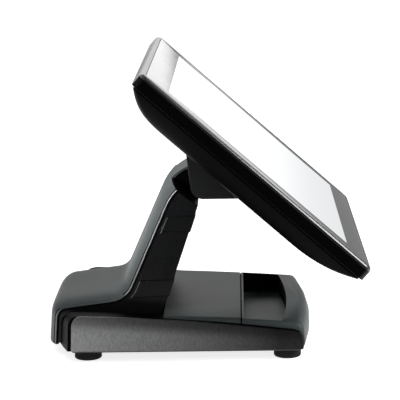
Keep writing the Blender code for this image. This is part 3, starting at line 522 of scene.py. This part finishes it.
def rounded_line(corners, radii, steps=20):
    """Bent line whose inner corners are arcs of the given radii."""
    points = [Vector(corners[0])]
    for i in range(1, len(corners) - 1):
        corner = Vector(corners[i])
        back = (Vector(corners[i - 1]) - corner).normalized()
        ahead = (Vector(corners[i + 1]) - corner).normalized()
        half_turn = (math.pi - back.angle(ahead)) / 2
        run = radii[i] * math.tan(half_turn)
        middle = corner + (back + ahead).normalized() * radii[i] / math.cos(half_turn)
        first = corner + back * run - middle
        sweep = first.angle_signed(corner + ahead * run - middle)
        for k in range(steps + 1):
            points.append(middle + Matrix.Rotation(-sweep * k / steps, 2) @ first)
    points.append(Vector(corners[-1]))
    return points


def offset_line(points, distance):
    """Shift an open line sideways, to the left of its direction."""
    shifted = []
    for i, point in enumerate(points):
        along = (points[min(i + 1, len(points) - 1)] - points[max(i - 1, 0)]).normalized()
        shifted.append(point + Vector((-along.y, along.x)) * distance)
    return shifted


def rounded_rect(half_x, low, high, radius, steps=12):
    """Outline in X and V with rounded corners, counter-clockwise from its lower right corner."""
    points = []
    for sx, sv, start in ((1, -1, -90), (1, 1, 0), (-1, 1, 90), (-1, -1, 180)):
        cx = sx * (half_x - radius)
        cv = high - radius if sv > 0 else low + radius
        for i in range(steps + 1):
            a = math.radians(start + 90 * i / steps)
            points.append((cx + radius * math.cos(a), cv + radius * math.sin(a)))
    return points


def head_ring(inset, w, radius, inset_top=None, inset_bottom=None):
    """Ring at height W, inset from the outline of the screen head, at top and bottom by their own."""
    top = inset if inset_top is None else inset_top
    bottom = inset if inset_bottom is None else inset_bottom
    outline = rounded_rect(HEAD_HALF_W - inset, HEAD_LOW + bottom, HEAD_HIGH - top, radius)
    return [HEAD @ Vector((x, v, w)) for x, v in outline]


# ---------------------------------------------------------------- sizes shared with the CAD model

HEAD_HALF_W = 180.5 * MM
HEAD_LOW = -165.2 * MM
HEAD_HIGH = 126.8 * MM
BEZEL_FRONT_W = 61.5 * MM
BEZEL_BACK_W = 46.5 * MM
COVER_BACK_W = 24.8 * MM
COVER_WALL = 2.2 * MM
BAY_HALF = 95.0 * MM
BAY_LOW = -93.0 * MM
BAY_HIGH = -67.0 * MM
BAY_MID = (BAY_LOW + BAY_HIGH) / 2
BAY_FLOOR_W = 43.2 * MM
ARM_HALF = 75.0 * MM
KNUCKLE_HALF = 27.5 * MM
CROWN = 8.0 * MM
COWL_WALL = 2.2 * MM
COWL_RIM = [
    (3.3, 184.5, 0.0), (28.8, 175.2, 52.0), (80.9, 57.5, 27.0),
    (152.6, 48.4, 12.0), (155.53, 10.5, 0.0),
]                                  # mm: Y, Z and radius of the corners of the line along the rim
JOINT_FRONT_Y = -38.9 * MM
JOINT_REAR_Y = -37.3 * MM
ARM_ALONG = Vector((0.0, -0.38, 0.925))
SHOULDER_FRONT = Vector((4.7, 154.6)) * MM
SHOULDER_BACK = Vector((26.2, 171.3)) * MM
PICTURE_W = 304.0 * MM
PICTURE_H = 228.0 * MM
PICTURE_MID_V = -20.0 * MM

# sizes of the cowl's edge that only the looks have; the widths count inwards from its side
RIM_FILLET = 0.8 * MM
RIM_WIDTH = 1.2 * MM
GROOVE_START = 1.3 * MM
GROOVE_END = 3.0 * MM
GROOVE_DEPTH = 0.6 * MM
CROWN_EDGE = 3.6 * MM


# ---------------------------------------------------------------- pieces

def eased(value, start, run):
    """0 before the start and 1 after the run, with an even slope between."""
    return min(max((value - start) / run, 0.0), 1.0)


def cowl_rim():
    """Line along the rim of the cowl, from the knuckle down the arm and over the rear hump, in Y and Z."""
    return rounded_line([(y * MM, z * MM) for y, z, r in COWL_RIM], [r * MM for y, z, r in COWL_RIM])


def cowl_bulge(x, power=4):
    """How far the shell stands out over the line of its rim; flatter in the middle than a circle."""
    return CROWN * (1 - (x / ARM_HALF) ** power)


def cowl_outer(rim, x, inset):
    """Outer line of the shell this far from the middle; fuller over the rear hump than on the arm."""
    slim = offset_line(rim, cowl_bulge(x) - inset)
    full = offset_line(rim, cowl_bulge(x, 6) - inset)
    blended = []
    for a, b in zip(slim, full):
        share = eased(a.x, 40 * MM, 50 * MM)
        blended.append(a.lerp(b, share * share * (3 - 2 * share)))
    return blended


def make_rear_cowl():
    """Grey shell whose rounded rim is painted lighter as a painted highlight, set off from its back by a groove
    painted black as painted shade.
    """
    rim = cowl_rim()
    steps = 24
    half = [((ARM_HALF - CROWN_EDGE) * i / steps, 0.0) for i in range(1, steps + 1)]
    slope = 0.2 * MM
    half += [(ARM_HALF - GROOVE_END, 0.0), (ARM_HALF - GROOVE_END + slope, GROOVE_DEPTH),
             (ARM_HALF - GROOVE_START - slope, GROOVE_DEPTH), (ARM_HALF - GROOVE_START, 0.1 * MM)]
    for i in range(7):
        a = math.radians(90 * i / 6)
        half.append((ARM_HALF - RIM_FILLET + RIM_FILLET * math.sin(a), RIM_FILLET * (1 - math.cos(a))))
    whole = [(-x, inset) for x, inset in reversed(half)] + [(0.0, 0.0)] + half
    rings = []
    for x, inset in whole:
        outer = cowl_outer(rim, x, inset)
        inner = offset_line(rim, cowl_bulge(x) - COWL_WALL)
        rings.append([(x, p.x, p.y) for p in outer + inner[::-1]])
    cowl = loft(rings, "rear_cowl_piece")
    along = (SHOULDER_BACK - SHOULDER_FRONT).normalized()
    up = Vector((-along.y, along.x)) * 60 * MM
    start = SHOULDER_FRONT - along * 40 * MM
    end = SHOULDER_BACK + along * 30 * MM
    outline = [start, end, end + up, start + up]
    blocks = []
    for side in (-1, 1):
        xs = (side * KNUCKLE_HALF, side * (ARM_HALF + 15 * MM))
        blocks.append(loft([[(x, p.x, p.y) for p in outline] for x in xs], "block"))
    cut_away(cowl, *blocks)
    smooth(cowl, 35.0)
    cowl.data.materials.clear()
    for name in ("shell_grey", "painted_rim_highlight", "joint_black_and_painted_shade"):
        cowl.data.materials.append(MATERIALS[name])
    # the rim's faces take the lighter grey as a painted highlight; the faces on the very side and in the groove
    # take the black as painted shade
    for face in cowl.data.polygons:
        inward = ARM_HALF - abs(face.center.x)
        rimmed = face.center.z > 62 * MM or face.center.y > 150 * MM
        if inward < 0.01 * MM:
            face.material_index = 2
        elif rimmed and inward < RIM_WIDTH:
            face.material_index = 1
        elif rimmed and inward < GROOVE_END:
            face.material_index = 2
    add_bevel(cowl, 0.3 * MM, 2, 50.0)
    return settle(cowl, "rear_cowl")


def make_cowl_shade_strip(side, name):
    """Black strip inside the rear hump, between the shell and the black side: painted shade that fills the gap."""
    rim = cowl_rim()
    rings = []
    for reach in (ARM_HALF - 2.6 * MM, ARM_HALF - 1.0 * MM):
        under = cowl_bulge(reach) - COWL_WALL
        outer, inner = ([p for p in offset_line(rim, under - gap) if p.x > 100 * MM]
                        for gap in (0.05 * MM, 2.0 * MM))
        rings.append([(side * reach, p.x, p.y) for p in outer + inner[::-1]])
    # painted shade filling the gap between the shell and the black side
    extra(loft(rings, name), "base", "joint_black_and_painted_shade")


def at_height(line, z):
    """Point of a falling Y-Z line at this height."""
    for above, below in zip(line, line[1:]):
        if below.y <= z <= above.y and below.y < above.y:
            return above.lerp(below, (above.y - z) / (above.y - below.y))
    return line[-1]


def make_arm_highlight_bead(side, high, low, name):
    """Fine bead down the side of an arm band, along its rear end, in the lighter rim grey: a painted highlight of
    the arm's rounded edge.
    """
    rim = cowl_rim()
    inward = 6.0 * MM
    width = 0.6 * MM
    steps = 12
    heights = [high + (low - high) * i / steps for i in range(steps + 1)]
    rings = []
    for reach, taper in ((ARM_HALF - 0.5 * MM, 0.0), (ARM_HALF + 0.75 * MM, 0.12 * MM)):
        rear_line = offset_line(rim, -(inward + taper))
        front_line = offset_line(rim, -(inward + width - taper))
        outline = [at_height(rear_line, z) for z in heights]
        outline += [at_height(front_line, z) for z in reversed(heights)]
        rings.append([(side * reach, p.x, p.y) for p in outline])
    # painted highlight along the arm's rear edge
    extra(loft(rings, name), "base", "painted_rim_highlight")


def make_band_seam_shadow(band, name):
    """Black line along the lower edge of an arm band, on both sides of the arm: the dark joint, widened by painted
    shadow under the proud band.
    """
    corners = {(round(v.co.y, 4), round(v.co.z, 4)) for v in frame["nodes"][band].data.vertices
               if abs(v.co.x) > ARM_HALF + 0.2 * MM}           # Y and Z on the band's side faces
    front_low = min(corners, key=lambda c: c[0] + 2 * c[1])
    rear_low = min((c for c in corners if c[0] > front_low[0] + 20 * MM), key=lambda c: c[1])
    line = [front_low, rear_low]
    # the joint's dark line with painted shadow: the strip reaches above and below the band's lower edge
    outline = [(y, z + 0.5 * MM) for y, z in line] + [(y, z - 0.4 * MM) for y, z in reversed(line)]
    bm = bmesh.new()
    for side in (-1, 1):
        add_prism(bm, *([(side * reach, y, z) for y, z in outline]
                        for reach in (ARM_HALF - 1.0 * MM, ARM_HALF + 0.35 * MM)))
    bmesh.ops.recalc_face_normals(bm, faces=bm.faces)
    extra(link_mesh(bm, name), "base", "joint_black_and_painted_shade")


def make_front_bezel():
    """Frame with a softly chamfered front edge and a seat for the glass."""
    chamfer = 4.2 * MM
    seat = 3.3 * MM
    ledge = 5.3 * MM
    depth = BEZEL_FRONT_W - BEZEL_BACK_W
    section = (                    # inset from the outline, depth behind the front, corner radius
        (0.0, depth, 7.0 * MM), (0.0, chamfer, 7.0 * MM), (0.8 * MM, 1.9 * MM, 6.6 * MM),
        (2.2 * MM, 0.6 * MM, 5.8 * MM), (4.2 * MM, 0.0, 4.6 * MM), (5.0 * MM, 0.0, 3.9 * MM),
        (5.0 * MM, seat, 3.9 * MM), (11.0 * MM, seat, 2.0 * MM), (11.0 * MM, ledge, 2.0 * MM),
        (3.0 * MM, ledge, 5.0 * MM), (3.0 * MM, depth, 5.0 * MM),
    )
    rings = [head_ring(inset, BEZEL_FRONT_W - behind, radius) for inset, behind, radius in section]
    bezel = loft(rings, "front_bezel_piece", looped=True)
    lower_edge = HEAD @ Matrix.Translation((150.0 * MM, HEAD_LOW, 51.5 * MM))
    button_way = lower_edge @ Matrix.Rotation(math.radians(-90), 4, "X")
    cut_away(bezel, rod("hole", 3.8 * MM, (0, 0, -5 * MM), 5 * MM, button_way, 48))
    smooth(bezel, 20.0)
    bezel.data.materials.append(MATERIALS["bezel_black"])
    bezel.data.materials.append(MATERIALS["bezel_edge"])
    to_head = HEAD.inverted()
    for face in bezel.data.polygons:
        slanted = 0.1 < face.normal.dot(OUT_OF_SCREEN) < 0.999
        if slanted and (to_head @ face.center).z > BEZEL_FRONT_W - chamfer:
            face.material_index = 1
    add_bevel(bezel, 0.35 * MM, 3, 18.0)
    return settle(bezel, "front_bezel")


def make_rear_cover():
    """Pillow-edged shell with two rows of round-ended vents and the connectors' window."""
    rim_w = BEZEL_BACK_W - 0.3 * MM
    depth = rim_w - COVER_BACK_W
    start = 3.5                    # mm in from the outline, where the cover leaves the bezel
    steps = 26
    rings = [head_ring(start * MM, rim_w, 6.0 * MM)]
    for i in range(steps + 1):
        t = i / steps
        drop = depth * (0.10 + 0.90 * (1 - (1 - t) ** 2))
        rings.append(head_ring((start + 30.0 * t) * MM, rim_w - drop, (6.0 + 12.0 * t) * MM,
                               (start + 38.0 * t) * MM, (start + 60.0 * t) * MM))
    bm = bmesh.new()
    rows = [[bm.verts.new(point) for point in ring] for ring in rings]
    for here, there in zip(rows, rows[1:]):
        bridge(bm, there, here)
    bm.faces.new(list(reversed(rows[-1])))
    cover = link_mesh(bm, "rear_cover_piece")
    wall = cover.modifiers.new("wall", "SOLIDIFY")
    wall.thickness = COVER_WALL
    wall.offset = -1.0
    wall.use_even_offset = True
    apply_modifiers(cover)
    behind = COVER_BACK_W - 5 * MM
    inside = COVER_BACK_W + 5 * MM
    vent_half = 6.5 * MM
    vent_pitch = 9.0 * MM
    bm = bmesh.new()
    for row_v in (62.0 * MM, 80.0 * MM):
        outline = rounded_rect(1.2 * MM, row_v - vent_half, row_v + vent_half, 1.19 * MM, 6)
        for i in range(-8, 9):
            if i:
                add_prism(bm, *([(x + i * vent_pitch, v, w) for x, v in outline] for w in (behind, inside)))
    bmesh.ops.recalc_face_normals(bm, faces=bm.faces)
    bmesh.ops.transform(bm, matrix=HEAD, verts=bm.verts)
    bay = boxes("bay", [((-BAY_HALF, BAY_LOW, behind), (BAY_HALF, BAY_HIGH, inside))], HEAD)
    cut_away(cover, link_mesh(bm, "slots"), bay)
    smooth(cover, 25.0)
    add_bevel(cover, 0.25 * MM, 2, 50.0)
    return settle(cover, "rear_cover")


def make_foot(node):
    """Rubber foot with a rounded sole and two fine grooves round its side."""
    low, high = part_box(node)
    centre = ((low.x + high.x) / 2, (low.y + high.y) / 2)
    radius = (high.x - low.x) / 2
    bore = 5.0 * MM
    groove = 0.45 * MM
    fillet = 1.6 * MM
    section = [(bore, high.z), (radius - 0.6 * MM, high.z), (radius, high.z - 0.9 * MM)]
    for z in (6.0 * MM, 4.2 * MM):
        section += [(radius, z), (radius - groove, z - 0.3 * MM), (radius - groove, z - 0.6 * MM),
                    (radius, z - 0.9 * MM)]
    for i in range(7):
        a = math.radians(90 * i / 6)
        section.append((radius - fillet * (1 - math.cos(a)), fillet * (1 - math.sin(a))))
    section += [(bore + 0.4 * MM, 0.0), (bore, 0.4 * MM)]
    foot = smooth(turned(section, centre, node + "_piece"), 35.0)
    return settle(foot, node)


def make_screw(node, matrix, centre, radius, low, high):
    """Pan head with a rounded edge and a cross recess in the face at the low end."""
    core = 0.02 * MM
    fillet = 0.7 * MM
    recess = 0.7 * MM
    section = [(core, high), (radius, high)]
    for i in range(6):
        a = math.radians(90 * i / 5)
        section.append((radius - fillet * (1 - math.cos(a)), low + fillet * (1 - math.sin(a))))
    section.append((core, low))
    screw = turned(section, centre, node + "_piece", 40)
    x, y = centre
    reach = radius * 0.62
    thin = radius * 0.13
    for half_x, half_y in ((reach, thin), (thin, reach)):
        corners = ((x - half_x, y - half_y, low - 1 * MM), (x + half_x, y + half_y, low + recess))
        cut_away(screw, boxes("cross", [corners]))
    screw.data.transform(matrix)
    return settle(smooth(screw, 35.0), node)


def blacken(piece, wanted):
    """Turn the faces that the test picks black: dark joints, and painted shade in recesses."""
    apply_modifiers(piece)
    piece.data.materials.append(MATERIALS["joint_black_and_painted_shade"])
    for face in piece.data.polygons:
        if wanted(face.center, face.normal):
            face.material_index = 1


def pocket_shade_or_joint(c, normal):
    """Walls of the tray's recess, painted black as painted shade, and its edge at the joint with the deck."""
    inside = abs(c.x) < 99.5 * MM and -87 * MM < c.y < -40.5 * MM and c.z > 19 * MM
    # painted shade on the recess walls; a dark joint at the deck's edge
    return c.y > JOINT_FRONT_Y - 0.45 * MM or (inside and abs(normal.z) < 0.5)


def at_deck_joint(c, normal):
    """Edge of the deck cover at the joint with the tray."""
    return c.y < JOINT_REAR_Y + 0.45 * MM


def at_band_end(c, normal):
    """Ends of the arm's bands, which show as dark lines."""
    return abs(normal.dot(ARM_ALONG)) > 0.3


def lower_shoulder(rail):
    """Ease the top of a rail down beside the rear hump."""
    for vertex in rail.data.vertices:
        if vertex.co.z > 40 * MM:
            vertex.co.z -= 0.8 * MM * eased(vertex.co.y, 30 * MM, 60 * MM)


def make_joint_shade_strip():
    """Black strip just below the surface in the joint between the deck cover and the tray: painted shade in the
    gap.
    """
    half = [(95.5, 42.2), (98.0, 41.8), (100.0, 40.9), (101.4, 39.6), (102.2, 37.6), (102.4, 14.0)]
    outline = [(x * MM, z * MM) for x, z in half]
    outline += [(-x, z) for x, z in reversed(outline)]
    gap = 0.05 * MM
    rings = [[(x, y, z) for x, z in outline] for y in (JOINT_FRONT_Y + gap, JOINT_REAR_Y - gap)]
    # painted shade in the joint's gap
    extra(loft(rings, "joint_shade_strip"), "base", "joint_black_and_painted_shade")


def make_socket_insides():
    """Tongues, contacts and pins inside the connectors."""
    floor = BAY_FLOOR_W - 1.9 * MM
    half_x = 5.6 * MM
    half_v = 0.9 * MM
    for word, x in (("left", -56 * MM), ("right", -30 * MM)):
        stacks = [((x - half_x, v - half_v, floor - 6.5 * MM), (x + half_x, v + half_v, floor))
                  for v in (BAY_MID - 3.4 * MM, BAY_MID + 3.4 * MM)]
        tongues = add_bevel(boxes("usb_tongues_" + word, stacks, HEAD), 0.2 * MM, 2)
        extra(tongues, "head", "socket_plastic")
    half_x = 0.22 * MM
    contacts = []
    for i in range(8):
        x = (24.5 + i) * MM
        contacts.append(((x - half_x, BAY_MID + 3.6 * MM, floor - 5.5 * MM),
                         (x + half_x, BAY_MID + 4.6 * MM, floor)))
    extra(boxes("network_contacts", contacts, HEAD), "head", "gold")
    bm = bmesh.new()
    for row, count in ((1.4, 5), (-1.4, 4)):
        for i in range(count):
            x = (62.0 + (i - (count - 1) / 2) * 2.8) * MM
            place = HEAD @ Matrix.Translation((x, BAY_MID + row * MM, floor - 2.4 * MM))
            bmesh.ops.create_cone(bm, cap_ends=True, segments=16, radius1=0.3 * MM, radius2=0.5 * MM,
                                  depth=4.8 * MM, matrix=place)
    extra(smooth(link_mesh(bm, "serial_pins")), "head", "gold")
    pin = rod("inlet_pin", 0.9 * MM, (-82 * MM, BAY_MID, floor - 4.5 * MM), floor, HEAD, 24)
    extra(smooth(add_bevel(pin, 0.3 * MM, 2)), "head", "connector")


def make_touch_glass():
    """Rounded sheet; the picture is a field of its own within the printed border."""
    half_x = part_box("touch_glass")[1].x
    corners = [HEAD.inverted() @ v.co for v in frame["nodes"]["touch_glass"].data.vertices]
    low_v = min(c.y for c in corners)
    high_v = max(c.y for c in corners)
    low_w = min(c.z for c in corners)
    high_w = BEZEL_FRONT_W - 0.06 * MM
    radius = 3.6 * MM
    fillet = 0.5 * MM
    bm = bmesh.new()

    def ring(inset, w):
        outline = rounded_rect(half_x - inset, low_v + inset, high_v - inset, radius - inset, 8)
        return [bm.verts.new((x, v, w)) for x, v in outline]

    rows = [ring(0, low_w), ring(0, high_w - fillet)]
    for i in range(1, 5):
        a = math.radians(90 * i / 4)
        rows.append(ring(fillet * (1 - math.cos(a)), high_w - fillet * (1 - math.sin(a))))
    for here, there in zip(rows, rows[1:]):
        bridge(bm, here, there)
    bm.faces.new(list(reversed(rows[0])))
    top = rows[-1]
    half = PICTURE_W / 2
    v0 = PICTURE_MID_V - PICTURE_H / 2
    v1 = PICTURE_MID_V + PICTURE_H / 2
    field = [bm.verts.new((x, v, high_w)) for x, v in ((half, v0), (half, v1), (-half, v1), (-half, v0))]
    per = len(top) // 4
    for corner in range(4):
        arc = top[corner * per:(corner + 1) * per]
        for a, b in zip(arc, arc[1:]):
            bm.faces.new((a, b, field[corner]))
        following = (corner + 1) % 4
        bm.faces.new((arc[-1], top[following * per], field[following], field[corner]))
    picture = bm.faces.new(field)
    picture.material_index = 1
    bmesh.ops.transform(bm, matrix=HEAD, verts=bm.verts)
    glass = smooth(link_mesh(bm, "touch_glass_piece"), 30.0)
    glass.data.materials.append(make_glass_border())
    glass.data.materials.append(make_picture())
    return settle(glass, "touch_glass")


# ---------------------------------------------------------------- the scene

make_camera()
make_world()
make_floor()
area_light("softbox_top", (0.2, 0.6, 1.9), (0, 0, 0.1), (1.6, 1.6), 8.0)
area_light("softbox_far", (2.3, 0.2, 1.15), (0, 0, 0.6), (3.0, 1.5), 21.0)
area_light("spot_rear_left", (-0.5, 0.75, 0.42), (-0.06, 0.04, 0.15), (0.12, 0.16), 0.13, 14.0)
area_light("softbox_front", (-0.4, -1.15, 0.82), (-0.15, -0.1, 0.15), (0.5, 0.5), 14.0)
black_card("flag_on_floor", (-1.75, 0, 0.002), (2.9, 4.0), (0, 0, 1))
black_card("flag_behind_camera", (-3.2, -0.5, 1.2), (4.0, 2.4), (1, 0, 0))
grey_card("card_low", (0.7, -0.4, 0.145), (1.0, 0.25), 0.36, 1.0, 0.5)
grey_card("card_high", (0.75, 0.36, 0.22), (0.44, 0.3), 0.54, 0.66, 0.0)
bpy.context.scene.view_settings.view_transform = "Standard"

MATERIALS = make_materials()
make_touch_glass()
make_rear_cowl()
make_front_bezel()
make_rear_cover()
make_socket_insides()
make_joint_shade_strip()
SIDES = ((-1, "left"), (1, "right"))
for side, word in SIDES:
    make_cowl_shade_strip(side, "cowl_shade_strip_" + word)
for side, word in SIDES:
    make_arm_highlight_bead(side, 143.0 * MM, 127.0 * MM, "highlight_bead_upper_" + word)
    make_arm_highlight_bead(side, 76.0 * MM, 59.0 * MM, "highlight_bead_lower_" + word)
make_band_seam_shadow("arm_band_upper", "band_seam_shadow_upper")
make_band_seam_shadow("arm_band_lower", "band_seam_shadow_lower")
for number, (x, v) in enumerate([(x, v) for x in (-125.0, 125.0) for v in (-76.0, 66.0)], 1):
    make_screw("rear_cover_screw_%d" % number, HEAD, (x * MM, v * MM), 3.0 * MM,
               COVER_BACK_W - 1.6 * MM, COVER_BACK_W - 0.3 * MM)
for word in ("front_left", "front_right", "rear_left", "rear_right"):
    make_foot("foot_" + word)
    low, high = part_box("foot_screw_" + word)
    middle = (low + high) / 2
    make_screw("foot_screw_" + word, Matrix.Identity(4), (middle.x, middle.y), 3.6 * MM, low.z, high.z)

# the rest keep their CAD shapes, with rounded edges
BUILT_ABOVE = ("touch_glass", "rear_cowl", "front_bezel", "rear_cover", "foot")      # name starts
# faces turned black: dark joints, and painted shade on the tray's recess walls
BLACK_FACES = {
    "arm_band_upper": at_band_end, "arm_band_lower": at_band_end,
    "front_tray": pocket_shade_or_joint, "deck_cover": at_deck_joint,
}
for node_name in sorted(frame["nodes"]):
    if node_name.startswith(BUILT_ABOVE):
        continue
    piece = refined(node_name, 0.6 * MM if node_name.startswith("arm_band") else 0.4 * MM)
    if node_name in BLACK_FACES:
        blacken(piece, BLACK_FACES[node_name])
    if node_name.startswith("base_rail"):
        lower_shoulder(piece)
